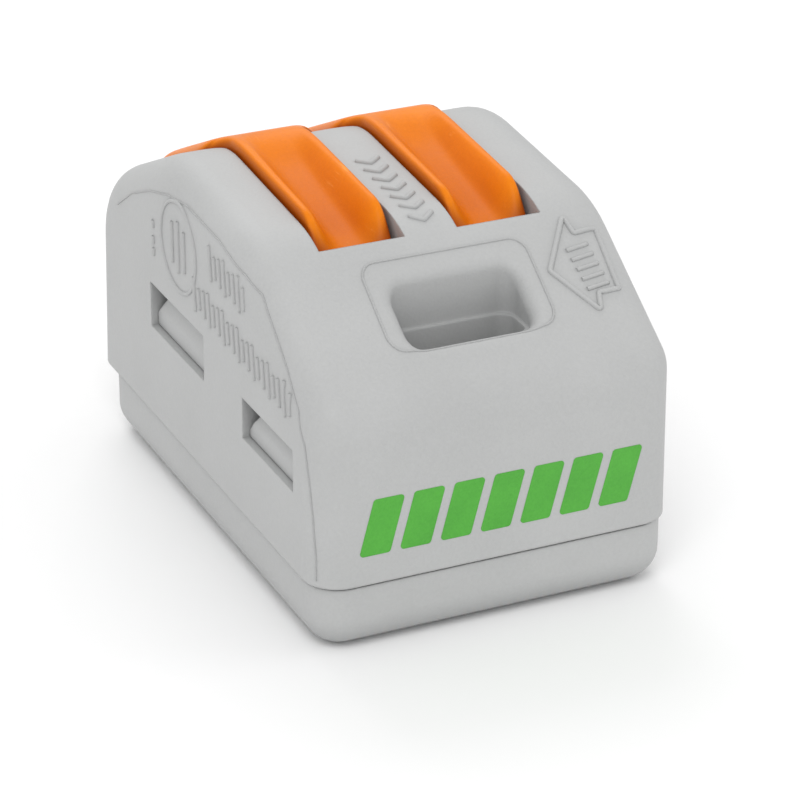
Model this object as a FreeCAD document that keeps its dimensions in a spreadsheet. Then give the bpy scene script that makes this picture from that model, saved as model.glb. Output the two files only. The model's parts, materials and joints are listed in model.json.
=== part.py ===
import FreeCAD, Part
import math
import os
import re
import Sketcher

# Two-pole lever splicing connector for electrical wires, in millimetres.
# +Z is up and the origin is the middle of the underside.  The two poles lie side by side
# along X, the wires go in through the +Y face, and the sloping face with the test opening
# looks towards -Y.  The levers are drawn closed, and the spring cages as they stand then.

SIZES = {
    # outside of the housing
    "width": 13.2,
    "depth": 20.5,
    "roof_z": 12.3,
    "crest_rise": 0.55,
    "parting_z": 2.5,
    "front_lean": 0.1,
    "back_lean": 0.4,
    "shoulder_z": 8.55,
    "heel_z": 9.75,
    "front_slope_run": 5.85,
    "back_slope_run": 6.55,
    "shoulder_radius": 1.5,
    "brow_radius": 4.7,
    "crest_radius": 4.5,
    "heel_radius": 3.4,
    "side_radius": 1.25,
    # how far joined pads run into each other, and how far a cutting tool stands out
    "sink": 0.1,
    "beyond": 1.0,
    # walls and fits
    "wall": 0.95,
    "slope_wall": 1.2,
    "partition": 0.8,
    "snap_arm": 1.0,
    "fit_gap": 0.05,
    "chamber_top": 10.05,
    "chamber_spare": 1.45,
    "chamber_side_gap": 0.15,
    # wire entries
    "entry_z": 4.65,
    "entry_radius": 1.75,
    "entry_flare": 0.25,
    "entry_flare_length": 0.9,
    "mouth_inset": 0.3,
    "throat_radius": 1.25,
    "throat_cone": 1.0,
    "throat_length": 1.05,
    # test opening in the front slope
    "test_width": 4.5,
    "test_front": 2.25,
    "test_run": 1.9,
    "test_wall": 0.3,
    "test_lip": 0.5,
    "test_corner": 0.5,
    "test_low": 6.85,
    "test_step_z": 9.3,
    "test_step": 0.12,
    # side windows and the hooks in them
    "front_window_low": 5.4,
    "front_window_high": 6.9,
    "back_window_low": 6.0,
    "back_window_high": 7.7,
    "front_window_at": 1.9,
    "front_window_run": 4.3,
    "back_window_at": 9.65,
    "back_window_run": 5.0,
    "hook_proud": 0.75,
    "hook_tip": 0.5,
    "hook_nose": 0.6,
    "hook_corner": 1.1,
    "hook_corner_drop": 1.3,
    # lever and its pivot
    "pivot_from_front": 8.1,
    "pivot_z": 10.65,
    "swing_radius": 2.55,
    "trunnion_radius": 1.05,
    "lever_inset": 0.65,
    "lever_gap": 0.1,
    "lever_rise": 0.35,
    "lever_under": 1.15,
    "slope_under": 0.8,
    "floor_gap": 0.2,
    "cam_shift": 0.5,
    "cam_rise": 0.3,
    "cam_radius": 1.85,
    "drum_gap": 0.2,
    "rail": 0.42,
    "rail_slope": 0.32,
    "groove_floor": 0.5,
    "ridge_corner": 0.85,
    "flange_start": 3.9,
    "flange_gap": 0.15,
    "tip_short": 1.15,
    # spring and current bar
    "strip": 0.3,
    "strip_lap": 0.01,
    "loop_split": 2.0,
    "loop_radius": 1.0,
    "loop_to_pivot": 2.6,
    "loop_below_pivot": 3.1,
    "strip_inset": 0.55,
    "cage_reach": 6.7,
    "cage_tilt": 10.0,
    "cage_sill_top": 3.01,
    "cage_sill": 0.7,
    "cage_bar": 0.4,
    "cage_window_top": 0.55,
    "tongue_gap": 0.15,
    "bar_thick": 0.7,
    "bar_front": 2.65,
    "bar_run": 3.4,
    "tongue_end": 0.25,
    # base cover
    "seam": 0.09,
    "base_floor": 0.9,
    "base_wall": 1.0,
    "base_back_step": 0.9,
    "base_radius": 1.2,
    "post_run": 1.0,
}

# Places and sizes worked out from the ones above.
FRONT = "(-depth / 2)"
BACK = "(depth / 2)"
SHOULDER_Y = f"({FRONT} + front_lean)"
BROW_Y = f"({SHOULDER_Y} + front_slope_run)"
HEEL_Y = f"({BACK} - back_lean)"
CREST_Y = f"({HEEL_Y} - back_slope_run)"
CREST_Z = "(roof_z + crest_rise)"
FRONT_SLOPE = "((roof_z - shoulder_z) / front_slope_run)"
ROOF_SLOPE = f"(crest_rise / ({CREST_Y} - {BROW_Y}))"
BACK_SLOPE = f"(({CREST_Z} - heel_z) / back_slope_run)"
INNER_FRONT = f"({FRONT} + wall)"
ARM_OUT = "(width / 2 - wall - fit_gap)"
CHAMBER = "(width / 2 - wall - snap_arm - fit_gap - partition / 2)"
POLE = f"(partition / 2 + {CHAMBER} / 2)"
LEVER_WIDTH = f"({CHAMBER} - 2 * lever_inset)"
SLOT_WIDTH = f"({LEVER_WIDTH} + 2 * lever_gap)"
STRIP_WIDTH = f"({CHAMBER} - 2 * strip_inset)"
TONGUE_WIDTH = f"({STRIP_WIDTH} - 2 * cage_bar - 2 * tongue_gap)"
FLANGE_WIDTH = f"(2 * {POLE} - flange_gap)"
PIVOT_Y = f"({FRONT} + pivot_from_front)"
CAM_Y = f"({PIVOT_Y} - cam_shift)"
CAM_Z = "(pivot_z + cam_rise)"
LOOP_Y = f"({PIVOT_Y} - loop_to_pivot)"
LOOP_Z = "(pivot_z - loop_below_pivot)"
BLOCK_Y = f"({LOOP_Y} + cage_reach + chamber_spare)"
CHEEK_LOW = f"({LOOP_Z} + loop_radius + drum_gap)"
BAR_TOP = f"({LOOP_Z} - loop_radius)"
BAR_BOTTOM = f"({BAR_TOP} - bar_thick)"
BAR_Y = f"({FRONT} + bar_front)"
TONGUE_Y = f"({BLOCK_Y} - tongue_end)"
LEVER_BOTTOM = "(roof_z - lever_under)"
SLOT_FLOOR = f"({LEVER_BOTTOM} - floor_gap)"
BEND_Y = f"({CREST_Y} + (crest_rise + lever_under - slope_under) / {BACK_SLOPE})"
TIP_Y = f"({BACK} - tip_short)"
FLANGE_Y = f"({PIVOT_Y} + swing_radius + flange_start)"
ABOVE = f"({CREST_Z} + 3 * beyond)"

DOC = FreeCAD.newDocument("lever_connector")
SHEET = DOC.addObject("Spreadsheet::Sheet", "Dims")


def bound(text):
    """A formula in which every size's name points at its cell."""
    return re.sub(r"[a-z_]+", lambda word: ("Dims." if word[0] in SIZES else "") + word[0], text)


def number(text):
    """What a formula comes to now."""
    return float(SHEET.evalExpression(bound(text)))


def fill_sheet():
    for row, (alias, value) in enumerate(SIZES.items(), start=1):
        SHEET.set(f"A{row}", alias)
        SHEET.set(f"B{row}", str(value))
        SHEET.setAlias(f"B{row}", alias)
    DOC.recompute()


# ---- sketches, pads and pockets ------------------------------------------------------

def new_body(name):
    body = DOC.addObject("PartDesign::Body", name)
    body.Label = name
    return body


def new_sketch(body, name, role, level):
    """A sketch parallel to one of the body's own planes, at a level along its normal."""
    sketch = body.newObject("Sketcher::SketchObject", name)
    plane = next(o for o in body.Origin.OriginFeatures if o.Role == role)
    sketch.AttachmentSupport = [(plane, "")]
    sketch.MapMode = "FlatFace"
    sketch.setExpression("AttachmentOffset.Base.z", bound(level))
    return sketch


def pin_point(sketch, geometry, position, corner):
    for kind, value in zip(("DistanceX", "DistanceY"), corner):
        index = sketch.addConstraint(
            Sketcher.Constraint(kind, -1, 1, geometry, position, number(value)))
        sketch.setExpression(f"Constraints[{index}]", bound(value))


def draw_outline(sketch, corners):
    """A closed outline through corners given as pairs of formulas."""
    points = [FreeCAD.Vector(number(u), number(v), 0) for u, v in corners]
    count = len(points)
    lines = [sketch.addGeometry(Part.LineSegment(points[i], points[(i + 1) % count]))
             for i in range(count)]
    for i in range(count):
        sketch.addConstraint(
            Sketcher.Constraint("Coincident", lines[i], 2, lines[(i + 1) % count], 1))
    for line, corner in zip(lines, corners):
        pin_point(sketch, line, 1, corner)


def draw_circle(sketch, centre, radius):
    middle = FreeCAD.Vector(number(centre[0]), number(centre[1]), 0)
    circle = sketch.addGeometry(
        Part.Circle(middle, FreeCAD.Vector(0, 0, 1), number(radius)))
    pin_point(sketch, circle, 3, centre)
    index = sketch.addConstraint(Sketcher.Constraint("Radius", circle, number(radius)))
    sketch.setExpression(f"Constraints[{index}]", bound(radius))


def extrude(body, name, kind, sketch, length, taper="0"):
    """Pad or pocket along the sketch's normal, checked by the volume that it changes."""
    before = body.Shape.Volume if body.Tip else 0.0
    feature = body.newObject("PartDesign::" + kind, name)
    feature.Profile = sketch
    feature.setExpression("Length", bound(length))
    feature.setExpression("TaperAngle", bound(taper))
    feature.Reversed = kind == "Pocket"
    DOC.recompute()
    change = body.Shape.Volume - before
    if (change > 1e-6) != (kind == "Pad") or abs(change) < 1e-6:
        raise RuntimeError(f"{body.Label}.{name} changed the volume by {change:.4f}")
    return feature


def side_shape(body, name, kind, corners, middle, thick):
    """Pad or pocket of an outline seen from the side (Y, Z), centred on X = middle."""
    sketch = new_sketch(body, name + "_outline", "YZ_Plane", f"{middle} - ({thick}) / 2")
    draw_outline(sketch, corners)
    return extrude(body, name, kind, sketch, thick)


def side_disc(body, name, kind, centre, radius, middle, thick):
    sketch = new_sketch(body, name + "_circle", "YZ_Plane", f"{middle} - ({thick}) / 2")
    draw_circle(sketch, centre, radius)
    return extrude(body, name, kind, sketch, thick)


def plan_shape(body, name, kind, corners, low, high, taper="0"):
    """Pad or pocket of an outline seen from above (X, Y), from one height to another."""
    sketch = new_sketch(body, name + "_outline", "XY_Plane", low)
    draw_outline(sketch, corners)
    return extrude(body, name, kind, sketch, f"({high}) - ({low})", taper)


def rectangle(u0, u1, v0, v1):
    return [(u0, v0), (u1, v0), (u1, v1), (u0, v1)]


def round_edges(body, name, radius, chosen):
    """Fillet the edges of the body that pass the test."""
    edges = [f"Edge{i}" for i, edge in enumerate(body.Shape.Edges, start=1) if chosen(edge)]
    if not edges:
        raise RuntimeError(f"{body.Label}.{name} found no edge")
    base = body.Tip
    fillet = body.newObject("PartDesign::Fillet", name)
    fillet.Base = (base, edges)
    fillet.setExpression("Radius", bound(radius))
    DOC.recompute()
    return fillet


def runs_across(edge, y, z):
    """True for a straight edge along X at the given Y and Z."""
    box = edge.BoundBox
    return (box.XLength > 1 and box.YLength < 1e-4 and box.ZLength < 1e-4
            and abs(box.YMin - y) < 1e-3 and abs(box.ZMin - z) < 1e-3)


def upright_at(edge, x, y):
    """True for a straight edge along Z at the given X and Y."""
    box = edge.BoundBox
    return (box.ZLength > 0.3 and box.XLength < 1e-4 and box.YLength < 1e-4
            and abs(box.YMin - y) < 1e-3 and abs(box.XMin - x) < 1e-3)


def on_plane(edge, axis, value):
    box = edge.BoundBox
    low, high = {"x": (box.XMin, box.XMax), "z": (box.ZMin, box.ZMax)}[axis]
    return abs(low - value) < 1e-3 and abs(high - value) < 1e-3


# ---- the upper housing ---------------------------------------------------------------

def housing_block(body):
    outline = [(FRONT, "parting_z"), (BACK, "parting_z"), (HEEL_Y, "heel_z"),
               (CREST_Y, CREST_Z), (BROW_Y, "roof_z"), (SHOULDER_Y, "shoulder_z")]
    side_shape(body, "block", "Pad", outline, "0", "width")
    corners = [("shoulder", SHOULDER_Y, "shoulder_z"), ("brow", BROW_Y, "roof_z"),
               ("crest", CREST_Y, CREST_Z), ("heel", HEEL_Y, "heel_z")]
    for name, y, z in corners:
        at_y, at_z = number(y), number(z)
        round_edges(body, name + "_fillet", name + "_radius",
                    lambda edge: runs_across(edge, at_y, at_z))
    half, low = number("width / 2"), number("parting_z")
    round_edges(body, "side_fillet", "side_radius",
                lambda edge: (on_plane(edge, "x", half) or on_plane(edge, "x", -half))
                and not on_plane(edge, "z", low))


def housing_hollow(body):
    """The space for the springs and the cover's arms, open below, with its middle wall."""
    inner = "(width - 2 * wall)"
    below = "parting_z - beyond"
    slope_foot = f"(shoulder_z + ({INNER_FRONT} - {SHOULDER_Y}) * {FRONT_SLOPE} - slope_wall)"
    slope_end = f"({SHOULDER_Y} + (chamber_top + slope_wall - shoulder_z) / {FRONT_SLOPE})"
    outline = [(INNER_FRONT, below), (BLOCK_Y, below), (BLOCK_Y, "chamber_top"),
               (slope_end, "chamber_top"), (INNER_FRONT, slope_foot)]
    side_shape(body, "hollow", "Pocket", outline, "0", inner)
    front, back, top = f"{INNER_FRONT} - sink", f"{BLOCK_Y} + sink", "chamber_top + sink"
    wall_outline = [(front, "parting_z"), (back, "parting_z"), (back, top),
                    (slope_end, top), (front, slope_foot)]
    side_shape(body, "middle_wall", "Pad", wall_outline, "0", "partition")
    notch = rectangle(f"{BAR_Y} - fit_gap", f"{BAR_Y} + bar_run + fit_gap",
                      below, f"{BAR_TOP} + fit_gap")
    side_shape(body, "bar_notch", "Pocket", notch, "0", "partition + 2 * sink")
    cheek = rectangle(f"{PIVOT_Y} - swing_radius + drum_gap + sink",
                      f"{PIVOT_Y} + swing_radius", CHEEK_LOW, top)
    side_shape(body, "bearing_cheeks", "Pad", cheek, "0", inner)


def housing_pole(body, side, pole):
    """Lever slot, spring chamber, pivot seats and wire entry of one pole."""
    below = f"{CHEEK_LOW} - sink"
    chamber = rectangle(f"{PIVOT_Y} - swing_radius + drum_gap",
                        f"{PIVOT_Y} + swing_radius + sink", below, "chamber_top")
    side_shape(body, side + "_chamber", "Pocket", chamber, pole,
               f"{STRIP_WIDTH} + 2 * chamber_side_gap")
    side_disc(body, side + "_swing", "Pocket", (PIVOT_Y, "pivot_z"), "swing_radius",
              pole, SLOT_WIDTH)
    near = f"({PIVOT_Y} - swing_radius)"
    far = f"({BACK} + beyond)"
    slope_floor = f"({SLOT_FLOOR} - ({far} - {BEND_Y}) * {BACK_SLOPE})"
    slot = [(near, "pivot_z"), (PIVOT_Y, "pivot_z"), (PIVOT_Y, SLOT_FLOOR),
            (BEND_Y, SLOT_FLOOR), (far, slope_floor), (far, ABOVE), (near, ABOVE)]
    side_shape(body, side + "_slot", "Pocket", slot, pole, SLOT_WIDTH)
    seat = "(trunnion_radius + fit_gap)"
    side_disc(body, side + "_seat", "Pocket", (PIVOT_Y, "pivot_z"), seat, pole, CHAMBER)
    way_in = rectangle(f"{PIVOT_Y} - {seat}", f"{PIVOT_Y} + {seat}", below, "pivot_z")
    side_shape(body, side + "_seat_mouth", "Pocket", way_in, pole, CHAMBER)
    wire_entry(body, side, pole)


def wire_entry(body, side, pole):
    """A flared round entry with a cone down to the throat, turned about its own axis."""
    sketch = new_sketch(body, side + "_entry_profile", "XY_Plane", "entry_z")
    flare_r = "(entry_radius + entry_flare)"
    outside, mouth = f"({BACK} + beyond)", f"({BACK} - mouth_inset)"
    throat_y = f"({BLOCK_Y} + throat_length)"
    draw_outline(sketch, [
        (pole, outside), (f"{pole} + {flare_r}", outside), (f"{pole} + {flare_r}", mouth),
        (f"{pole} + entry_radius", f"{mouth} - entry_flare_length"),
        (f"{pole} + entry_radius", f"{throat_y} + throat_cone"),
        (f"{pole} + throat_radius", throat_y),
        (f"{pole} + throat_radius", f"{BLOCK_Y} - sink"), (pole, f"{BLOCK_Y} - sink")])
    DOC.recompute()
    before = body.Shape.Volume
    entry = body.newObject("PartDesign::Groove", side + "_entry")
    entry.Profile = sketch
    entry.ReferenceAxis = (sketch, ["Edge8"])
    entry.Angle = 360
    DOC.recompute()
    if body.Shape.Volume > before - 1:
        raise RuntimeError(side + " entry cut nothing")


def housing_openings(body):
    """Recess for the lever tips, with its ridges' ends rounded, and the side windows."""
    floor = f"({CREST_Z} - ({FLANGE_Y} - {CREST_Y}) * {BACK_SLOPE} - slope_under - floor_gap)"
    near, far = f"({FLANGE_Y} - floor_gap)", f"({BACK} + beyond)"
    far_floor = f"({floor} - ({far} - {FLANGE_Y}) * {BACK_SLOPE})"
    recess = [(near, f"{floor} + floor_gap * {BACK_SLOPE}"), (far, far_floor),
              (far, ABOVE), (near, ABOVE)]
    side_shape(body, "tip_recess", "Pocket", recess, "0",
               f"(2 * {POLE} + {FLANGE_WIDTH} + 2 * lever_gap)")
    ridge_y = number(near)
    sides = [number(f"{sign} * {POLE} {way} {SLOT_WIDTH} / 2") for sign in ("-1", "1")
             for way in ("-", "+")]
    for count, x in enumerate(sides, start=1):
        round_edges(body, f"ridge_end_{count}", "ridge_corner",
                    lambda edge: upright_at(edge, x, ridge_y))
    for place in ("front", "back"):
        start = f"{FRONT} + {place}_window_at"
        window = rectangle(start, f"{start} + {place}_window_run",
                           f"{place}_window_low", f"{place}_window_high")
        side_shape(body, place + "_windows", "Pocket", window, "0", "width + beyond")


def test_shaft_walls(body):
    """The walls of the test shaft, hanging from the front slope down to the current bar."""
    half = "(test_width / 2 + test_wall)"
    y0 = f"({FRONT} + test_front - test_wall)"
    y1 = f"({FRONT} + test_front + test_run + test_wall)"
    top = [f"shoulder_z + ({y} - {SHOULDER_Y}) * {FRONT_SLOPE} - 2 * sink" for y in (y0, y1)]
    outline = [(y0, "test_low"), (y1, "test_low"), (y1, top[1]), (y0, top[0])]
    side_shape(body, "test_walls", "Pad", outline, "0", f"2 * {half}")


def test_opening(body):
    """A shaft with a small step in its walls and a soft lip where it meets the slope."""
    y0 = f"({FRONT} + test_front)"
    y1 = f"({y0} + test_run)"
    plan_shape(body, "test_shaft", "Pocket",
               rectangle("-test_width / 2", "test_width / 2", y0, y1), "test_step_z", ABOVE)
    plan_shape(body, "test_foot", "Pocket",
               rectangle("-test_width / 2 + test_step", "test_width / 2 - test_step",
                         f"{y0} + test_step", f"{y1} - test_step"), BAR_TOP, "test_step_z + sink")
    half, low, high = (number(f) for f in ("test_width / 2", y0, y1))
    near = number("test_step") + 1e-3

    def is_corner(edge):
        box = edge.BoundBox
        upright = box.XLength < 1e-4 and box.YLength < 1e-4 and box.ZLength > 0.2
        return (upright and abs(abs(box.XMin) - half) < near
                and min(abs(box.YMin - low), abs(box.YMin - high)) < near)

    round_edges(body, "test_corners", "test_corner", is_corner)
    slope, foot = number(FRONT_SLOPE), number(SHOULDER_Y)
    start = number("shoulder_z")

    def is_rim(edge):
        points = [edge.valueAt(edge.FirstParameter + k * (edge.LastParameter - edge.FirstParameter))
                  for k in (0.0, 0.5, 1.0)]
        return all(abs(p.x) < half + 0.01 and low - 0.01 < p.y < high + 0.01
                   and abs(start + (p.y - foot) * slope - p.z) < 0.01 for p in points)

    round_edges(body, "test_lip_fillet", "test_lip", is_rim)


def arm_ways(body):
    """Room for the cover's back arms where they reach past the spring chamber."""
    for side, sign in (("left", "-1"), ("right", "1")):
        way = rectangle(f"{BLOCK_Y} - sink",
                        f"{FRONT} + back_window_at + back_window_run + fit_gap",
                        "parting_z - beyond", "back_window_high + fit_gap")
        side_shape(body, side + "_arm_way", "Pocket", way,
                   f"({sign} * ({ARM_OUT} - snap_arm / 2))", "snap_arm + 2 * fit_gap")


def upper_housing():
    body = new_body("upper_housing")
    housing_block(body)
    housing_hollow(body)
    test_shaft_walls(body)
    arm_ways(body)
    housing_pole(body, "left", f"(-{POLE})")
    housing_pole(body, "right", POLE)
    housing_openings(body)
    test_opening(body)
    return body


# ---- the base cover ------------------------------------------------------------------

def cover_tray(body):
    top = "(parting_z - seam)"
    front, back = f"({FRONT} + seam)", f"({BACK} - base_back_step)"
    side_shape(body, "block", "Pad", rectangle(front, back, "0", top), "0", "width - 2 * seam")
    half = number("width / 2 - seam")
    ends = [number(front), number(back)]
    for end, y in zip(("front", "back"), ends):
        round_edges(body, end + "_corners", "side_radius",
                    lambda edge: upright_at(edge, -half, y) or upright_at(edge, half, y))
    round_edges(body, "foot_fillet", "base_radius", lambda edge: on_plane(edge, "z", 0))
    tray = rectangle(f"{front} + base_wall", f"{back} - base_wall",
                     "base_floor", f"{top} + beyond")
    side_shape(body, "tray", "Pocket", tray, "0", "width - 2 * seam - 2 * base_wall")


def cover_arms(body):
    """Four upright arms whose hooks rest on the lower edges of the side windows."""
    for side, sign in (("left", "-1"), ("right", "1")):
        root = f"({sign} * ({ARM_OUT} - snap_arm / 2))"
        nose = f"({sign} * ({ARM_OUT} + hook_proud))"
        tip = f"({sign} * ({ARM_OUT} + hook_tip))"
        for place in ("front", "back"):
            near = f"({FRONT} + {place}_window_at + fit_gap)"
            far = f"({near} + {place}_window_run - 2 * fit_gap)"
            low, high = f"{place}_window_low + fit_gap", f"{place}_window_high - fit_gap"
            name = f"{side}_{place}"
            side_shape(body, name + "_arm", "Pad", rectangle(near, far, "base_floor", high),
                       root, "snap_arm")
            sketch = new_sketch(body, name + "_hook_outline", "XZ_Plane", f"-1 * {far}")
            draw_outline(sketch, [(root, low), (nose, low), (nose, f"{low} + hook_nose"),
                                  (tip, high), (root, high)])
            extrude(body, name + "_hook", "Pad", sketch, f"{far} - {near}")


def cut_hook_corners(body):
    """Each hook's upper corner towards the wire side is cut away, a sight of the inside."""
    for place in ("front", "back"):
        far = f"({FRONT} + {place}_window_at + {place}_window_run)"
        high = f"{place}_window_high"
        corner = [(f"{far} - hook_corner", high), (far, f"{high} - hook_corner_drop"), (far, high)]
        side_shape(body, place + "_hook_corner", "Pocket", corner, "0", "width")


def cover_posts(body):
    """Two posts that carry the current bar from below."""
    for side, pole in (("left", f"(-{POLE})"), ("right", POLE)):
        post = rectangle(f"{BAR_Y} + fit_gap", f"{BAR_Y} + post_run",
                         "base_floor - sink", BAR_BOTTOM)
        side_shape(body, side + "_post", "Pad", post, pole, STRIP_WIDTH)


def base_cover():
    body = new_body("base_cover")
    cover_tray(body)
    cover_arms(body)
    cut_hook_corners(body)
    cover_posts(body)
    return body


# ---- the levers ----------------------------------------------------------------------

def lever(name, pole):
    """A channel-section lever with its cam drum and trunnions at the test-opening end."""
    body = new_body(name)
    crest = f"({CREST_Z} + lever_rise)"
    rise = f"(roof_z + lever_rise + ({PIVOT_Y} - {BROW_Y}) * {ROOF_SLOPE})"
    tip_top = f"({crest} - ({TIP_Y} - {CREST_Y}) * {BACK_SLOPE})"
    tip_low = f"({CREST_Z} - slope_under - ({TIP_Y} - {CREST_Y}) * {BACK_SLOPE})"
    arm = [(CAM_Y, CAM_Z), (f"{PIVOT_Y} + trunnion_radius", LEVER_BOTTOM),
           (BEND_Y, LEVER_BOTTOM), (TIP_Y, tip_low), (TIP_Y, tip_top), (CREST_Y, crest),
           (PIVOT_Y, rise), (CAM_Y, f"{CAM_Z} + cam_radius")]
    side_shape(body, "arm", "Pad", arm, pole, LEVER_WIDTH)
    crest_y, crest_z = number(CREST_Y), number(crest)
    round_edges(body, "crest_fillet", "crest_radius",
                lambda edge: runs_across(edge, crest_y, crest_z))
    side_disc(body, "cam", "Pad", (CAM_Y, CAM_Z), "cam_radius", pole, LEVER_WIDTH)
    side_disc(body, "hub", "Pad", (PIVOT_Y, "pivot_z"), "trunnion_radius", pole,
              f"{CHAMBER} - 2 * fit_gap")
    drop = f"({FLANGE_Y} - {CREST_Y}) * {BACK_SLOPE}"
    flange_top, flange_low = f"({crest} - {drop})", f"({CREST_Z} - slope_under - {drop})"
    flange = [(FLANGE_Y, flange_low), (TIP_Y, tip_low), (TIP_Y, tip_top), (FLANGE_Y, flange_top)]
    side_shape(body, "flange", "Pad", flange, pole, FLANGE_WIDTH)
    lever_groove(body, pole)
    return body


def lever_groove(body, pole):
    """The finger groove: a flat floor between sloping rails, as far as the flange."""
    floor, top = "(roof_z - groove_floor)", f"({CREST_Z} + lever_rise)"
    lean = f"(rail_slope / ({top} - {floor}))"
    half_top = f"({LEVER_WIDTH} / 2 - rail + {lean} * beyond)"
    half_floor = f"({LEVER_WIDTH} / 2 - rail - rail_slope)"
    sketch = new_sketch(body, "groove_outline", "XZ_Plane", f"-1 * ({FLANGE_Y})")
    draw_outline(sketch, [(f"{pole} - {half_floor}", floor), (f"{pole} + {half_floor}", floor),
                          (f"{pole} + {half_top}", f"{top} + beyond"),
                          (f"{pole} - {half_top}", f"{top} + beyond")])
    before = body.Shape.Volume
    groove = body.newObject("PartDesign::Pocket", "groove")
    groove.Profile = sketch
    groove.Reversed = True
    groove.setExpression("Length", bound(f"{FLANGE_Y} - {FRONT}"))
    DOC.recompute()
    if body.Shape.Volume > before - 1:
        raise RuntimeError("the groove cut nothing")


# ---- springs and current bar ---------------------------------------------------------

def primitive(kind, name, **formulas):
    """A Part primitive whose properties are bound to formulas; _ stands for a dot."""
    item = DOC.addObject("Part::" + kind, name)
    for key, formula in formulas.items():
        item.setExpression(key.replace("_", "."), bound(formula))
    return item


def block(name, x, y, z, length, width, height):
    return primitive("Box", name, Placement_Base_x=x, Placement_Base_y=y, Placement_Base_z=z,
                     Length=length, Width=width, Height=height)


def ring_sector(name, start, sweep, width):
    """A stretch of the spring's loop about the X axis, from an angle in the YZ plane."""
    along = FreeCAD.Vector(0, math.cos(math.radians(start)), math.sin(math.radians(start)))
    turn = FreeCAD.Rotation(along, FreeCAD.Vector(), FreeCAD.Vector(1, 0, 0), "XZY")
    sectors = []
    for kind, radius in (("outer", "loop_radius"), ("inner", "loop_radius - strip")):
        sector = primitive("Cylinder", f"{name}_{kind}", Radius=radius, Height=width,
                           Placement_Base_x=f"-1 * {width} / 2")
        sector.Angle = sweep
        base = sector.Placement.Base
        sector.Placement = FreeCAD.Placement(base, turn)
        sectors.append(sector)
    return cut(name, sectors[0], sectors[1])


def cut(name, base, tool):
    item = DOC.addObject("Part::Cut", name)
    item.Base, item.Tool = base, tool
    return item


def fuse(name, pieces):
    item = DOC.addObject("Part::MultiFuse", name)
    item.Shapes = pieces
    return item


def seat_at_loop(item, pole, tilt):
    """Put a spring piece, drawn about its loop's centre, into the housing."""
    item.Placement = FreeCAD.Placement(
        FreeCAD.Vector(number(pole), number(LOOP_Y), number(LOOP_Z)),
        FreeCAD.Rotation(FreeCAD.Vector(1, 0, 0), tilt))
    for axis, formula in (("x", pole), ("y", LOOP_Y), ("z", LOOP_Z)):
        item.setExpression("Placement.Base." + axis, bound(formula))


def contact_leg(name, pole):
    """The still half of a spring: lower loop and the leg that lies on the current bar."""
    loop = ring_sector(name + "_loop", 180, 90, STRIP_WIDTH)
    heel = block(name + "_heel", f"-1 * {STRIP_WIDTH} / 2", "-1 * strip_lap", "-1 * loop_radius",
                 STRIP_WIDTH, "loop_radius * 2", "strip")
    reach = f"({TONGUE_Y} - tongue_end - {LOOP_Y})"
    leg = block(name + "_leg", f"-1 * {TONGUE_WIDTH} / 2", "0", "-1 * loop_radius",
                TONGUE_WIDTH, reach, "strip")
    item = fuse(name, [loop, heel, leg])
    item.Label = name
    seat_at_loop(item, pole, 0)
    return item


def spring_cage(name, pole):
    """The moving half: upper loop, pressing leg and the cage with its wire window."""
    half = f"{STRIP_WIDTH} / 2"
    loop = ring_sector(name + "_loop", 90, 90 - number("cage_tilt + loop_split"), STRIP_WIDTH)
    leg = block(name + "_leg", f"-1 * {half}", "-1 * strip_lap", "loop_radius - strip",
                STRIP_WIDTH, "cage_reach + strip_lap", "strip")
    height = "(loop_radius + cage_sill_top + cage_sill)"
    plate = block(name + "_plate", f"-1 * {half}", "cage_reach - strip",
                  "-1 * (cage_sill_top + cage_sill)", STRIP_WIDTH, "strip", height)
    window = block(name + "_window", f"-1 * {half} + cage_bar", "cage_reach - 2 * strip",
                   "-1 * cage_sill_top", f"{STRIP_WIDTH} - 2 * cage_bar", "3 * strip",
                   "cage_sill_top + cage_window_top")
    item = cut(name, fuse(name + "_strip", [loop, leg, plate]), window)
    item.Label = name
    seat_at_loop(item, pole, number("cage_tilt"))
    item.setExpression("Placement.Rotation.Angle", "Dims.cage_tilt")
    return item


def current_bar():
    """A copper comb: a cross strip under the test opening and a tongue into each cage."""
    reach = f"({POLE} + {TONGUE_WIDTH} / 2)"
    pieces = [block("bar_cross", f"-1 * {reach}", BAR_Y, BAR_BOTTOM, f"2 * {reach}",
                    "bar_run", "bar_thick")]
    for side, pole in (("left", f"(-{POLE})"), ("right", POLE)):
        pieces.append(block(f"bar_{side}_tongue", f"{pole} - {TONGUE_WIDTH} / 2",
                            f"{BAR_Y} + bar_run / 2", BAR_BOTTOM, TONGUE_WIDTH,
                            f"{TONGUE_Y} - {BAR_Y} - bar_run / 2", "bar_thick"))
    item = fuse("current_bar", pieces)
    item.Label = "current_bar"
    return item


# ---- everything together -------------------------------------------------------------

def check_document(parts):
    """Stop if any object failed or any sub-part is not one sound solid."""
    DOC.recompute()
    failed = [o.Name for o in DOC.Objects if {"Invalid", "Error"} & set(o.State)]
    if failed:
        raise RuntimeError("failed objects: " + ", ".join(failed))
    for part in parts:
        shape = part.Shape
        if shape.isNull() or not shape.isValid() or len(shape.Solids) != 1:
            raise RuntimeError(part.Label + " is not one valid solid")


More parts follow.
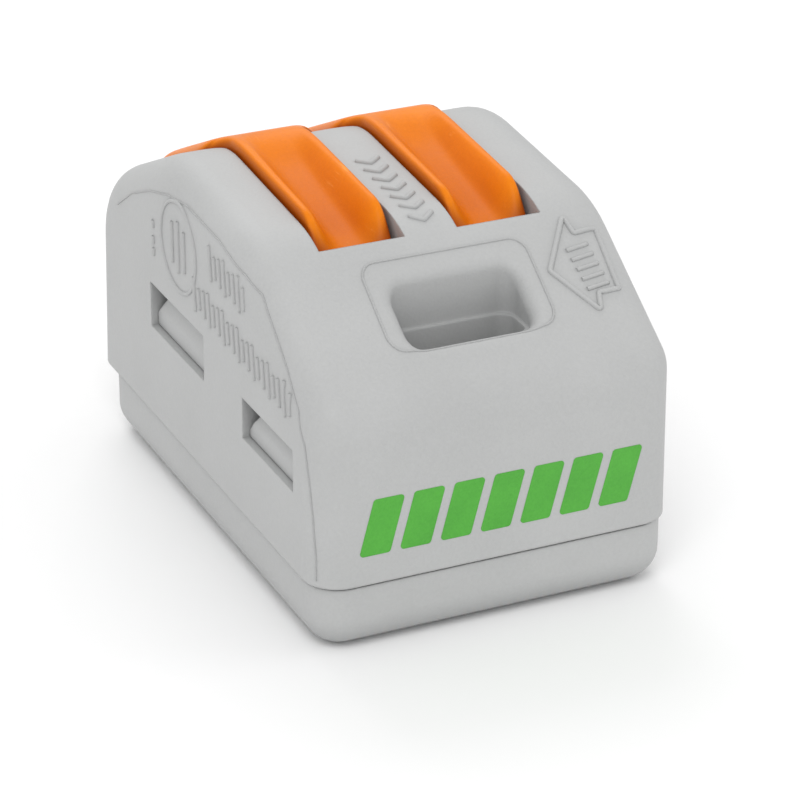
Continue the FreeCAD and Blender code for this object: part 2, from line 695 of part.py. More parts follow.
def main():
    fill_sheet()
    left, right = f"(-{POLE})", POLE
    parts = [upper_housing(), base_cover(), lever("left_lever", left),
             lever("right_lever", right), contact_leg("left_contact_leg", left),
             contact_leg("right_contact_leg", right), spring_cage("left_spring_cage", left),
             spring_cage("right_spring_cage", right), current_bar()]
    check_document(parts)
    os.makedirs("parts", exist_ok=True)
    for part in parts:
        part.Shape.exportStep(f"parts/{part.Label}.step")
        box = part.Shape.optimalBoundingBox(False)
        print(f"{part.Label:18} {part.Shape.Volume:8.2f} mm3"
              f"  X {box.XMin:6.2f} {box.XMax:6.2f}  Y {box.YMin:6.2f} {box.YMax:6.2f}"
              f"  Z {box.ZMin:6.2f} {box.ZMax:6.2f}")
    for name, y, z in (("levers", PIVOT_Y, "pivot_z"), ("springs", LOOP_Y, LOOP_Z)):
        print(f"{name} turn about Y {number(y):.4f} Z {number(z):.4f}")


main()
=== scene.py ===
# %% [markdown]
# # A lever wire connector, finished for the eye
# The connector arrives as a frame of exact solids: a grey housing, its base cover, two orange
# levers and the metal parts inside.  This notebook keeps the solids that are right, models the
# levers again with soft moulded shapes, adds what a mould leaves on a surface, and gives every
# piece a finish with grain and wear, lighter edges that are partly a painted highlight, and on
# the plastics painted shade in the hollows.  Shapes are written in millimetres and scaled by MM.

# %% The frame
import bmesh
import bpy
import json
import math
from mathutils import Matrix, Vector
from mathutils.bvhtree import BVHTree


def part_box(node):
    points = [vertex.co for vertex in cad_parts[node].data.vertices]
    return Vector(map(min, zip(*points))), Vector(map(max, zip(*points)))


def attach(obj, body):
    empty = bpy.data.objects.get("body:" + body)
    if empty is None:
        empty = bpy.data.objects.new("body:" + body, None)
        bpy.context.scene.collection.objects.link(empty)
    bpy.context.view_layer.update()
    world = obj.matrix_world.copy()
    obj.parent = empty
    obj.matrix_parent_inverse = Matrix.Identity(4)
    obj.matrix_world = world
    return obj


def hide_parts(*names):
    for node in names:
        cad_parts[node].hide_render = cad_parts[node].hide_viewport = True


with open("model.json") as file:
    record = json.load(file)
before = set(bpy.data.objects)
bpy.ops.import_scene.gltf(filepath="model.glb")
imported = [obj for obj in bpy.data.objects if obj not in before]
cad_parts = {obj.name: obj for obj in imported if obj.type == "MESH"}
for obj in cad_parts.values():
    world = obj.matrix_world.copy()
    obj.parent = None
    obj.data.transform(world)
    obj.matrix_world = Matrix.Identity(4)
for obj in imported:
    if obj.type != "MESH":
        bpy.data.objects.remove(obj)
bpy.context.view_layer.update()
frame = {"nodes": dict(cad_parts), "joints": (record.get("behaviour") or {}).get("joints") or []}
MM = 0.001

# %% [markdown]
# The camera comes first, because every later choice is judged through it.  A long lens from the
# front left, a little above, looks down on the sloping face and along the levers.  A tracking
# constraint could aim it too, but angles on a ball round the connector are easier to read and
# to change one at a time.

# %% The camera
def aim_camera(azimuth, elevation, roll, distance, lens, target, slide, rise):
    """A camera on a ball around the target, turned by angles in degrees."""
    a, e, r = (math.radians(v) for v in (azimuth, elevation, roll))
    back = Vector((math.sin(a) * math.cos(e), -math.cos(a) * math.cos(e), math.sin(e)))
    level = Vector((math.cos(a), math.sin(a), 0.0))
    up = back.cross(level)
    right, top = (level * math.cos(r) + up * math.sin(r), up * math.cos(r) - level * math.sin(r))
    data = bpy.data.cameras.new("camera")
    data.lens = lens
    data.clip_start = 0.005
    camera = bpy.data.objects.new("camera", data)
    turn = Matrix((right, top, back)).transposed()
    place = target + right * slide + top * rise + back * distance
    camera.matrix_world = Matrix.Translation(place) @ turn.to_4x4()
    bpy.context.collection.objects.link(camera)
    bpy.context.scene.camera = camera
    return camera


camera = aim_camera(azimuth=-24.69, elevation=25.94, roll=0.16, distance=120.44 * MM, lens=154.96,
                    target=Vector((0, -0.25, 6.0)) * MM, slide=0.843 * MM, rise=-1.976 * MM)
print("camera at", [round(v, 4) for v in camera.location])

# %% [markdown]
# A pale floor catches the shadow.  One grid face is enough for it.

# %% The floor
FLOOR_SIZE, FLOOR_COLOUR, FLOOR_ROUGHNESS = 0.6, (0.98, 0.98, 0.98), 0.7


def plain_material(name, colour, roughness):
    material = bpy.data.materials.new(name)
    material.use_nodes = True
    shader = material.node_tree.nodes["Principled BSDF"]
    shader.inputs["Base Color"].default_value = (*colour, 1)
    shader.inputs["Roughness"].default_value = roughness
    return material


def make_floor(size):
    mesh = bpy.data.meshes.new("floor")
    shape = bmesh.new()
    bmesh.ops.create_grid(shape, x_segments=1, y_segments=1, size=size)
    shape.to_mesh(mesh)
    shape.free()
    mesh.materials.append(plain_material("pale_floor", FLOOR_COLOUR, FLOOR_ROUGHNESS))
    floor = bpy.data.objects.new("floor", mesh)
    bpy.context.collection.objects.link(floor)
    return floor


print("staged:", make_floor(FLOOR_SIZE).name)

# %% [markdown]
# Broad discs of light give soft shadows: one large panel from the upper left, a weaker one from
# the right and one behind, while a white world fills the rest.  The lamps are weak in watts,
# because they stand only about 180 mm from a part the size of a fingertip.

# %% Lights and world
LIGHTS = {"key_light": ((-60, -90, 150), 90, 0.085), "right_light": ((150, -60, 90), 90, 0.022),
          "back_light": ((20, 120, 120), 110, 0.060)}
LIT_POINT = Vector((0, 0, 5 * MM))
WORLD_STRENGTH = 0.75


def area_light(name, place, size, power):
    data = bpy.data.lights.new(name, "AREA")
    data.shape = "DISK"
    data.size = size * MM
    data.energy = power
    light = bpy.data.objects.new(name, data)
    light.location = Vector(place) * MM
    toward = LIT_POINT - light.location
    light.rotation_euler = toward.to_track_quat("-Z", "Y").to_euler()
    bpy.context.collection.objects.link(light)
    return light


for name, (place, size, power) in LIGHTS.items():
    area_light(name, place, size, power)
world = bpy.data.worlds.new("studio")
world.use_nodes = True
background = world.node_tree.nodes["Background"]
background.inputs["Color"].default_value = (1, 1, 1, 1)
background.inputs["Strength"].default_value = WORLD_STRENGTH
bpy.context.scene.world = world
bpy.context.scene.view_settings.view_transform = "Standard"
print("lights:", list(LIGHTS))

# %% [markdown]
# ## Shared surface effects
# Four effects are used by more than one finish, so each is a node group that is built once.
# A group puts out only masks, heights and normals, and the shader itself stays in each material.
# A few helpers keep the groups short: one makes an empty group with its sockets, the others add
# one or two nodes and hand back the output that matters.

# %% Node helpers
def new_group(name, inputs, outputs):
    """An empty shader group with float inputs (name, default) and outputs (name, type)."""
    group = bpy.data.node_groups.new(name, "ShaderNodeTree")
    for label, default in inputs:
        socket = group.interface.new_socket(label, in_out="INPUT", socket_type="NodeSocketFloat")
        socket.default_value = default
    for label, kind in outputs:
        group.interface.new_socket(label, in_out="OUTPUT", socket_type="NodeSocket" + kind)
    return group, group.nodes.new("NodeGroupInput"), group.nodes.new("NodeGroupOutput")


def math_node(tree, operation, first, second, clamp=False):
    node = tree.nodes.new("ShaderNodeMath")
    node.operation = operation
    node.use_clamp = clamp
    for socket, value in zip(node.inputs, (first, second)):
        if isinstance(value, (int, float)):
            socket.default_value = value
        else:
            tree.links.new(value, socket)
    return node.outputs[0]


def noise(tree, coordinates, scale, detail=2.0, roughness=0.5):
    node = tree.nodes.new("ShaderNodeTexNoise")
    node.inputs["Detail"].default_value = detail
    node.inputs["Roughness"].default_value = roughness
    tree.links.new(coordinates, node.inputs["Vector"])
    if isinstance(scale, (int, float)):
        node.inputs["Scale"].default_value = scale
    else:
        tree.links.new(scale, node.inputs["Scale"])
    return node.outputs["Fac"]


def object_coordinates(tree, stretch=(1, 1, 1)):
    """Object coordinates, scaled differently along each axis where a pattern has a direction."""
    source = tree.nodes.new("ShaderNodeTexCoord").outputs["Object"]
    if stretch == (1, 1, 1):
        return source
    mapping = tree.nodes.new("ShaderNodeMapping")
    mapping.inputs["Scale"].default_value = stretch
    tree.links.new(source, mapping.inputs["Vector"])
    return mapping.outputs["Vector"]


# %% [markdown]
# *Mould grain* is what spark erosion leaves in a mould, and the mould on the plastic: a fine even
# speckle, over slow clouds where the plastic cooled unevenly.  A picture could be laid on every
# piece instead, but it shows seams, while two noises of very different scale fill space without
# one.

# %% Mould grain
def make_mould_grain():
    inputs = (("Speckle per metre", 9000.0), ("Cloud per metre", 350.0), ("Depth", 1.0))
    group, source, result = new_group("mould_grain", inputs,
                                      (("Shade", "Float"), ("Height", "Float")))
    place = object_coordinates(group)
    speckle = noise(group, place, source.outputs["Speckle per metre"], detail=3.0, roughness=0.6)
    cloud = noise(group, place, source.outputs["Cloud per metre"])
    swing = math_node(group, "ADD", math_node(group, "SUBTRACT", speckle, 0.5),
                      math_node(group, "SUBTRACT", cloud, 0.5))
    deep = math_node(group, "MULTIPLY", swing, source.outputs["Depth"])
    shade = math_node(group, "ADD", deep, 0.5, clamp=True)
    group.links.new(shade, result.inputs["Shade"])
    group.links.new(speckle, result.inputs["Height"])
    return group


GRAIN = make_mould_grain()
print("shared effect:", GRAIN.name)

# %% [markdown]
# *Worn and lit edge* finds the places where the surface turns sharply and rounds their normals,
# as no moulded edge is perfectly sharp.  The Bevel node does this without one new face: where its
# normal leaves the surface's own, there is an edge.  Its mask lightens the colour there, partly
# as wear and partly as a painted highlight.

# %% Worn edge and painted highlight
def make_worn_and_lit_edge():
    group, source, result = new_group("worn_and_lit_edge", (("Radius", 0.00012), ("Strength", 2.0)),
                                      (("Mask", "Float"), ("Normal", "Vector")))
    bevel = group.nodes.new("ShaderNodeBevel")
    bevel.samples = 4
    group.links.new(source.outputs["Radius"], bevel.inputs["Radius"])
    flat = group.nodes.new("ShaderNodeNewGeometry").outputs["Normal"]
    dot = group.nodes.new("ShaderNodeVectorMath")
    dot.operation = "DOT_PRODUCT"
    group.links.new(bevel.outputs[0], dot.inputs[0])
    group.links.new(flat, dot.inputs[1])
    turn = math_node(group, "SUBTRACT", 1.0, dot.outputs["Value"])
    # this mask lightens the edges: partly wear, partly a painted highlight
    mask = math_node(group, "MULTIPLY", turn, source.outputs["Strength"], clamp=True)
    group.links.new(mask, result.inputs["Mask"])
    group.links.new(bevel.outputs[0], result.inputs["Normal"])
    return group


WORN_AND_LIT_EDGE = make_worn_and_lit_edge()
print("shared effect:", WORN_AND_LIT_EDGE.name)

# %% [markdown]
# *Drawn lines* are fine parallel scratches, from rolling a strip or from a thumb along a lever.
# They are a noise stretched along Y, and a second noise lets them come and go in patches.

# %% Drawn lines
STRETCH, PATCHES_PER_METRE = (1.0, 0.06, 1.0), 600.0
WEAKEST_LINE, LINE_CONTRAST = 0.6, 9.0


def make_drawn_lines():
    group, source, result = new_group("drawn_lines", (("Lines per metre", 9000.0),
                                                      ("Share", 0.45)),
                                      (("Mask", "Float"), ("Height", "Float")))
    along = object_coordinates(group, STRETCH)
    lines = noise(group, along, source.outputs["Lines per metre"], detail=4.0, roughness=0.65)
    patches = noise(group, object_coordinates(group), PATCHES_PER_METRE)
    patchy = math_node(group, "MULTIPLY", lines, patches)
    weakest = math_node(group, "MULTIPLY", source.outputs["Share"], WEAKEST_LINE)
    strong = math_node(group, "SUBTRACT", patchy, weakest)
    mask = math_node(group, "MULTIPLY", strong, LINE_CONTRAST, clamp=True)
    group.links.new(mask, result.inputs["Mask"])
    group.links.new(lines, result.inputs["Height"])
    return group


LINES = make_drawn_lines()
print("shared effect:", LINES.name)

# %% [markdown]
# *Painted hollow shade* darkens the colour in the hollows, where less light reaches: the foot of
# the test opening, the levers' grooves and the gaps beside them.  It measures how much of its
# surroundings a point can see, and paints shade where little is open, so it holds from every side.

# %% Painted hollow shade
def make_painted_hollow_shade():
    group, source, result = new_group("painted_hollow_shade", (("Reach", 0.0015), ("Strength", 1.0)),
                                      (("Mask", "Float"),))
    open_sky = group.nodes.new("ShaderNodeAmbientOcclusion")
    open_sky.samples = 8
    group.links.new(source.outputs["Reach"], open_sky.inputs["Distance"])
    # the shut-in share, which a finish paints in as shade
    painted_shade = math_node(group, "SUBTRACT", 1.0, open_sky.outputs["AO"])
    mask = math_node(group, "MULTIPLY", painted_shade, source.outputs["Strength"], clamp=True)
    group.links.new(mask, result.inputs["Mask"])
    return group


PAINTED_HOLLOW_SHADE = make_painted_hollow_shade()
print("shared effect:", PAINTED_HOLLOW_SHADE.name)

# %% [markdown]
# ## Finishes
# Each finish keeps its own Principled shader, and takes only masks, heights and normals from
# the groups.  Its colour lies between a darker and a lighter value, mixed by the grain.  Lines
# come over that, then the lighter edges, which are partly wear and partly a painted highlight,
# and last the painted shade that darkens the hollows.

# %% A material from the shared effects
def place_group(tree, group, **values):
    """A group in a material; an underscore in a value's name stands for a space."""
    node = tree.nodes.new("ShaderNodeGroup")
    node.node_tree = group
    for label, value in values.items():
        node.inputs[label.replace("_", " ")].default_value = value
    return node


def mix_colours(tree, factor, dark, light):
    node = tree.nodes.new("ShaderNodeMix")
    node.data_type = "RGBA"
    for socket, value in ((node.inputs["A"], dark), (node.inputs["B"], light)):
        if isinstance(value, tuple):
            socket.default_value = (*value, 1)
        else:
            tree.links.new(value, socket)
    tree.links.new(factor, node.inputs["Factor"])
    return node.outputs["Result"]


def finish(name, dark, light, edge_wear_and_highlight, rough, grain, bump, edge_radius=0.00012, metallic=0.0,
           lines=None, streak=None, painted_shade_colour=None, painted_hollow_shade=1.0):
    """A grained finish; rough is its lowest and highest roughness, bump its depth in metres."""
    material = bpy.data.materials.new(name)
    material.use_nodes = True
    tree = material.node_tree
    shader = tree.nodes["Principled BSDF"]
    shader.inputs["Metallic"].default_value = metallic
    speckle = place_group(tree, GRAIN, **grain)
    worn_and_lit = place_group(tree, WORN_AND_LIT_EDGE, Radius=edge_radius)
    colour = mix_colours(tree, speckle.outputs["Shade"], dark, light)
    height = speckle.outputs["Height"]
    if lines:
        drawn = place_group(tree, LINES, **lines)
        colour = mix_colours(tree, drawn.outputs["Mask"], colour, streak)
        height = math_node(tree, "ADD", height, drawn.outputs["Height"])
    # lighter edges: partly wear, partly a painted highlight
    colour = mix_colours(tree, worn_and_lit.outputs["Mask"], colour, edge_wear_and_highlight)
    # painted shade: the hollows are darkened towards the given colour where ambient occlusion finds
    # them
    if painted_shade_colour:
        painted_shade = place_group(tree, PAINTED_HOLLOW_SHADE, Strength=painted_hollow_shade)
        colour = mix_colours(tree, painted_shade.outputs["Mask"], colour, painted_shade_colour)
    tree.links.new(colour, shader.inputs["Base Color"])
    low, high = rough
    spread = math_node(tree, "MULTIPLY", speckle.outputs["Shade"], high - low)
    tree.links.new(math_node(tree, "ADD", spread, low), shader.inputs["Roughness"])
    bumps = tree.nodes.new("ShaderNodeBump")
    bumps.inputs["Distance"].default_value = bump
    tree.links.new(height, bumps.inputs["Height"])
    tree.links.new(worn_and_lit.outputs["Normal"], bumps.inputs["Normal"])
    tree.links.new(bumps.outputs["Normal"], shader.inputs["Normal"])
    return material


# %% [markdown]
# The housing and its cover are a matt, mid grey plastic.  A mould with an eroded surface gives
# it an even dull grain, so its roughness is high and hardly changes.

# %% Grey moulding
# The last colour, for the hollows, is painted shade, and the edge colour is partly a painted
# highlight.
grey = finish("grey_moulding", dark=(0.445, 0.45, 0.448), light=(0.52, 0.525, 0.523),
              edge_wear_and_highlight=(0.60, 0.605, 0.60), rough=(0.48, 0.62), bump=0.000012,
              grain={"Speckle_per_metre": 9000.0, "Cloud_per_metre": 260.0, "Depth": 0.9},
              painted_shade_colour=(0.30, 0.305, 0.305), painted_hollow_shade=0.6)
print("finish:", grey.name)

# %% [markdown]
# The levers are smoother than the housing, and thumbs leave faint lines along them.  Their
# orange is strong, and painted shade turns it to a deep burnt tone in the grooves and gaps.  The
# specular level is set low, because a white sheen would wash the colour out.

# %% Orange moulding
# The hollow colour is painted shade for the grooves and the gaps beside the levers.
orange = finish("orange_moulding", dark=(0.80, 0.19, 0.002), light=(0.95, 0.26, 0.002),
                edge_wear_and_highlight=(1.0, 0.33, 0.010), rough=(0.34, 0.46), bump=0.000006,
                grain={"Speckle_per_metre": 7000.0, "Cloud_per_metre": 500.0, "Depth": 0.8},
                lines={"Lines_per_metre": 6000.0, "Share": 0.62}, streak=(1.0, 0.36, 0.05),
                painted_shade_colour=(0.43, 0.075, 0.001), painted_hollow_shade=2.2)
orange.node_tree.nodes["Principled BSDF"].inputs["Specular IOR Level"].default_value = 0.15
print("finish:", orange.name)

# %% [markdown]
# The springs are stamped from rolled strip, which keeps the fine lines of the rollers.  The
# current bar is copper under dull tin: the tin is cloudy, and its edges are warmer, where the
# cut shows the copper.

# %% Spring strip and tinned copper
steel = finish("spring_strip", dark=(0.50, 0.48, 0.45), light=(0.66, 0.64, 0.60),
               edge_wear_and_highlight=(0.78, 0.76, 0.72), rough=(0.24, 0.40), bump=0.000006, metallic=1.0,
               grain={"Speckle_per_metre": 5000.0, "Cloud_per_metre": 400.0, "Depth": 1.0},
               lines={"Lines_per_metre": 14000.0, "Share": 0.40}, streak=(0.40, 0.38, 0.35))
tin = finish("tinned_copper", dark=(0.60, 0.58, 0.55), light=(0.74, 0.73, 0.71),
             edge_wear_and_highlight=(0.78, 0.62, 0.50), rough=(0.34, 0.50), bump=0.000010, metallic=1.0,
             grain={"Speckle_per_metre": 4000.0, "Cloud_per_metre": 900.0, "Depth": 1.4})
print("finishes:", steel.name, tin.name)

# %% [markdown]
# The mark on the front is printed in green ink.  Such a film is uneven in thickness, so its
# grain is strong and fine, and its edges are much thinner than a moulded edge.

# %% Green ink
print_ink = finish("green_ink", dark=(0.060, 0.36, 0.026), light=(0.085, 0.44, 0.038),
                   edge_wear_and_highlight=(0.11, 0.48, 0.06), rough=(0.34, 0.48), bump=0.000012,
                   grain={"Speckle_per_metre": 11000.0, "Cloud_per_metre": 700.0, "Depth": 1.3},
                   edge_radius=0.00003)
print("finish:", print_ink.name)

# %% [markdown]
# The solids of the frame keep their shapes and only change their finish.  What isn't in the
# list is a part of a spring.

# %% Finishes on the solids
FINISH = {"upper_housing": grey, "base_cover": grey, "left_lever": orange, "right_lever": orange,
          "current_bar": tin}
for name, node in frame["nodes"].items():
    node.data.materials.clear()
    node.data.materials.append(FINISH.get(name, steel))
print("finished", len(frame["nodes"]), "nodes")

# %% [markdown]
# ## Places on the housing
# The raised details lie on the housing's surface, which bends in many places.  So only two of a
# point's three numbers are written down, and a ray at the solid finds the third: downwards for
# the roof and the sloping face, sideways for the left side, and backwards for the front.

# %% Rays onto the housing
housing_mesh = frame["nodes"]["upper_housing"].data
SURFACE = BVHTree.FromPolygons([v.co / MM for v in housing_mesh.vertices],
                               [tuple(p.vertices) for p in housing_mesh.polygons])
FAR = 30.0


def down_onto(x, y):
    return SURFACE.ray_cast(Vector((x, y, FAR)), Vector((0, 0, -1)))[0]


def left_onto(y, z):
    return SURFACE.ray_cast(Vector((-FAR, y, z)), Vector((1, 0, 0)))[0]


def front_onto(x, z):
    return SURFACE.ray_cast(Vector((x, -FAR, z)), Vector((0, 1, 0)))[0]


print("roof height at the middle:", round(down_onto(0, 0).z, 3), "mm")

# %% [markdown]
# Every new piece needs two things beside its mesh: a finish, and the body that it rides on.

# %% Adding a piece
def add_piece(name, mesh, material, body="housing"):
    mesh.name = name
    mesh.materials.clear()
    mesh.materials.append(material)
    piece = bpy.data.objects.new(name, mesh)
    bpy.context.collection.objects.link(piece)
    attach(piece, body)
    return piece


# %% [markdown]
# A raised line on a moulding is half round, because the tool that cuts the mould is.  Each one
# is a curve with a round bevel, half sunk in the surface, turned into a mesh.  A section swept
# by hand would give the same with more code.

# %% Raised lines
def raised_lines(name, paths, radius, closed=False):
    """One piece made of several half-sunk round beads along paths of points in millimetres."""
    curve = bpy.data.curves.new(name, "CURVE")
    curve.dimensions = "3D"
    curve.bevel_depth = radius * MM
    curve.bevel_resolution = 2
    curve.use_fill_caps = True
    for points in paths:
        spline = curve.splines.new("POLY")
        spline.points.add(len(points) - 1)
        for target, point in zip(spline.points, points):
            target.co = (*(point * MM), 1)
        spline.use_cyclic_u = closed
    holder = bpy.data.objects.new(name + "_curve", curve)
    bpy.context.collection.objects.link(holder)
    mesh = bpy.data.meshes.new_from_object(holder)
    bpy.data.objects.remove(holder)
    for face in mesh.polygons:
        face.use_smooth = True
    print(name, "- beads:", len(paths))
    return add_piece(name, mesh, grey)


# %% [markdown]
# Two helpers draw a path in the flat: one puts points along a polygon's sides, close enough to
# follow a bent surface, and one rounds its corners.

# %% Flat paths
STEP = 0.12


def fine_steps(corners, closed=True):
    ends = list(corners) + ([corners[0]] if closed else [])
    points = []
    for (u0, v0), (u1, v1) in zip(ends, ends[1:]):
        count = max(1, round(math.dist((u0, v0), (u1, v1)) / STEP))
        points += [(u0 + (u1 - u0) * k / count, v0 + (v1 - v0) * k / count) for k in range(count)]
    return points if closed else points + [ends[-1]]


def rounded(corners, radius, steps=5):
    """A polygon with each corner replaced by a few points on an arc."""
    points = []
    for i, corner in enumerate(corners):
        middle = Vector(corner)
        before = (Vector(corners[i - 1]) - middle).normalized()
        after = (Vector(corners[(i + 1) % len(corners)]) - middle).normalized()
        half = before.angle(after) / 2
        reach = radius / math.tan(half)
        centre = middle + (before + after).normalized() * radius / math.sin(half)
        start, end = (middle + before * reach - centre), (middle + after * reach - centre)
        for k in range(steps + 1):
            way = start.lerp(end, k / steps).normalized() * radius
            points.append(tuple(centre + way))
    return points


# %% [markdown]
# A thin bead frames the test opening, where the probe of a meter goes in.  It is drawn as seen
# from above, with round corners, and dropped onto the slope.

# %% The bead round the test opening
RIM = [(-3.05, -8.40), (2.95, -8.40), (3.0, -5.42), (-3.0, -5.42)]
RIM_CORNER, RIM_BEAD = 0.55, 0.045
rim_path = [down_onto(x, y) for x, y in fine_steps(rounded(RIM, RIM_CORNER))]
raised_lines("test_bead", [rim_path], RIM_BEAD, closed=True)

# %% [markdown]
# Beside the opening stands a raised arrow.  Its outline is broader than the bead round the
# opening, and a few short bars fill it.

# %% The arrow beside the opening
ARROW = [(3.42, -6.72), (4.73, -5.00), (4.84, -5.64), (5.68, -5.58), (5.52, -7.68),
         (4.76, -7.70), (4.55, -8.28)]
ARROW_CORNER, ARROW_BEAD, SIGN_BEAD = 0.06, 0.10, 0.085
BARS, BAR_AT, BAR_STEP, BAR_ALONG, BAR_HALF = 5, (4.72, -6.12), (0.03, -0.34), (1.0, 0.12), 0.42


def bar_path(centre, along, half, surface):
    """A short straight stroke, laid on the surface."""
    steps = 6
    return [surface(centre[0] + along[0] * half * t, centre[1] + along[1] * half * t)
            for t in (k / steps * 2 - 1 for k in range(steps + 1))]


arrow_path = [down_onto(x, y) for x, y in fine_steps(rounded(ARROW, ARROW_CORNER, steps=3))]
raised_lines("arrow_outline", [arrow_path], ARROW_BEAD, closed=True)
bar_places = [(BAR_AT[0] + BAR_STEP[0] * k, BAR_AT[1] + BAR_STEP[1] * k) for k in range(BARS)]
arrow_bars = [bar_path(place, BAR_ALONG, BAR_HALF, down_onto) for place in bar_places]
raised_lines("arrow_bars", arrow_bars, SIGN_BEAD)

# %% [markdown]
# The left side carries a flat panel, edged by a fine line where two parts of the mould meet.
# The line follows the sloping face and the roof a little inside their edges.  Its corners are
# given as seen from the side: the place along Y, and the height.

# %% The left side's panel line
PANEL = [(-9.69, 2.75), (-9.69, 3.51), (-9.59, 4.93), (-9.44, 6.33), (-9.25, 7.5), (-8.75, 8.45),
         (-7.53, 9.5), (-6.65, 10.14), (-5.8, 10.74), (-5.33, 11.1), (-4.3, 11.4), (-2.0, 11.75),
         (0.8, 11.92), (2.5, 11.72), (4.2, 11.22), (6.0, 10.45), (7.48, 9.47)]
PANEL_BEAD = 0.035
panel_line = [left_onto(y, z) for y, z in fine_steps(PANEL, closed=False)]
raised_lines("panel_line", [panel_line], PANEL_BEAD)

# %% [markdown]
# On the panel stand a round mark, three dots and two rows of raised signs.  The real signs are
# lettering, so plain bars and strokes of the same size stand in their place.

# %% The round mark and the dots
RING_AT, RING_RADIUS, RING_STEPS, RING_BEAD = (1.5, 10.15), 1.62, 40, 0.075
RING_BARS = ((-0.55, 0.75), (0.0, 0.95), (0.55, 0.75))
DOT_Y, DOT_HEIGHTS, DOT_HALF = 3.9, (9.05, 9.5, 10.1), 0.14
UPRIGHT = (0.0, 1.0)
ring = [left_onto(RING_AT[0] + RING_RADIUS * math.cos(math.tau * k / RING_STEPS),
                  RING_AT[1] + RING_RADIUS * math.sin(math.tau * k / RING_STEPS))
        for k in range(RING_STEPS)]
raised_lines("side_ring", [ring], RING_BEAD, closed=True)
ring_bars = [bar_path((RING_AT[0] + offset, RING_AT[1]), UPRIGHT, half, left_onto)
             for offset, half in RING_BARS]
raised_lines("side_ring_bars", ring_bars, SIGN_BEAD)
side_dots = [bar_path((DOT_Y, z), UPRIGHT, DOT_HALF, left_onto) for z in DOT_HEIGHTS]
raised_lines("side_dots", side_dots, SIGN_BEAD)

# %% [markdown]
# A row of strokes runs from one place to another.  The strokes lean a little and change in
# length, so that a row looks like signs and not like a grille.

# %% The two rows of strokes
STROKE_LEAN, STROKE_LENGTHS = (0.12, 1.0), (1.0, 0.62, 0.8)
UPPER_ROW = ((-1.45, 10.72), (-4.35, 10.6), 8, 0.62)
LOWER_ROW = ((0.05, 9.0), (-8.15, 8.45), 20, 0.6)


def stroke_row(start, end, count, height):
    strokes = []
    for k in range(count):
        t = k / (count - 1)
        y, z = start[0] + (end[0] - start[0]) * t, start[1] + (end[1] - start[1]) * t
        half = height * STROKE_LENGTHS[k % len(STROKE_LENGTHS)]
        strokes.append(bar_path((y, z), STROKE_LEAN, half, left_onto))
    return strokes


raised_lines("side_strokes_upper", stroke_row(*UPPER_ROW), SIGN_BEAD)
raised_lines("side_strokes_lower", stroke_row(*LOWER_ROW), SIGN_BEAD)

# %% [markdown]
# The ridge between the levers has a few raised signs too.  Here they are chevrons that point
# along the ridge.

# %% The ridge's chevrons
CHEVRONS, CHEVRON_START, CHEVRON_PITCH, CHEVRON_BEAD = 7, -4.15, 0.72, 0.10


def chevron(y, half=0.42, drop=0.34):
    corners = [(-half, y + drop), (0.0, y), (half, y + drop)]
    return [down_onto(u, v) for u, v in fine_steps(corners, closed=False)]


chevrons = [chevron(CHEVRON_START + CHEVRON_PITCH * k) for k in range(CHEVRONS)]
raised_lines("ridge_chevrons", chevrons, CHEVRON_BEAD)

# %% [markdown]
# The printed mark on the front is a film of ink a few hundredths of a millimetre thick.  A row
# of slanted blocks fills the printed band.  Each block starts as one face with round corners,
# laid on the front and sunk a little, and is extruded outwards by the film's thickness.

# %% The printed band
INK_LOW, INK_HIGH, INK_LEFT, INK_RIGHT = 3.55, 5.55, -5.10, 5.25
INK_BLOCKS, INK_GAP, INK_SLANT, INK_CORNER = 7, 0.34, 0.55, 0.12
INK_SUNK, INK_FILM = 0.01, 0.02


def ink_block(shape, left, right):
    corners = [(left, INK_LOW), (right, INK_LOW), (right + INK_SLANT, INK_HIGH),
               (left + INK_SLANT, INK_HIGH)]
    sunk = Vector((0, INK_SUNK, 0))
    outline = rounded(corners, INK_CORNER, steps=4)
    verts = [shape.verts.new(front_onto(x, z) + sunk) for x, z in outline]
    face = shape.faces.new(verts)
    grown = bmesh.ops.extrude_face_region(shape, geom=[face])
    moved = [item for item in grown["geom"] if isinstance(item, bmesh.types.BMVert)]
    bmesh.ops.translate(shape, verts=moved, vec=(0, -INK_FILM, 0))


def make_print():
    shape = bmesh.new()
    pitch = (INK_RIGHT - INK_LEFT - INK_SLANT + INK_GAP) / INK_BLOCKS
    for k in range(INK_BLOCKS):
        left = INK_LEFT + k * pitch
        ink_block(shape, left, left + pitch - INK_GAP)
    bmesh.ops.recalc_face_normals(shape, faces=shape.faces[:])
    bmesh.ops.scale(shape, vec=(MM, MM, MM), verts=shape.verts[:])
    mesh = bpy.data.meshes.new("printed_band")
    shape.to_mesh(mesh)
    shape.free()
    return add_piece("printed_band", mesh, print_ink)


make_print()
print("printed band of", INK_BLOCKS, "blocks")

# %% [markdown]
# ## The levers
# A lever is a channel: two rails with a finger groove between them, a head that turns in the
# slot, and a wide flange at the wire side.  The solid lever has the right size but sharp edges.
# Bevelled boxes could stand in for it, but the groove deepens slowly towards the head and its
# walls lean.  So one closed ring of points, the lever's section, is set at station after
# station, the rings are bridged, and a subdivision surface softens the whole, as a moulding is
# soft.
#
# First come the two lines that the lever shares with the housing: the roof that it lies in, and
# the circle that its head may not leave.

# %% The roof line and the head's circle
LEVER_LOW, LEVER_HIGH = (Vector(corner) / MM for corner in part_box("left_lever"))
PIVOT = next(joint for joint in frame["joints"] if joint["name"] == "left_lever_pivot")
PIVOT_Y, PIVOT_Z = (value / MM for value in PIVOT["pos_m"][1:])
POLE = -PIVOT["pos_m"][0] / MM
CREST_Y, CREST_Z, CREST_RADIUS = 3.3, 12.85, 4.5
RISING, FALLING = math.atan(0.0724), math.atan(0.4733)
HEAD_RADIUS = 2.44


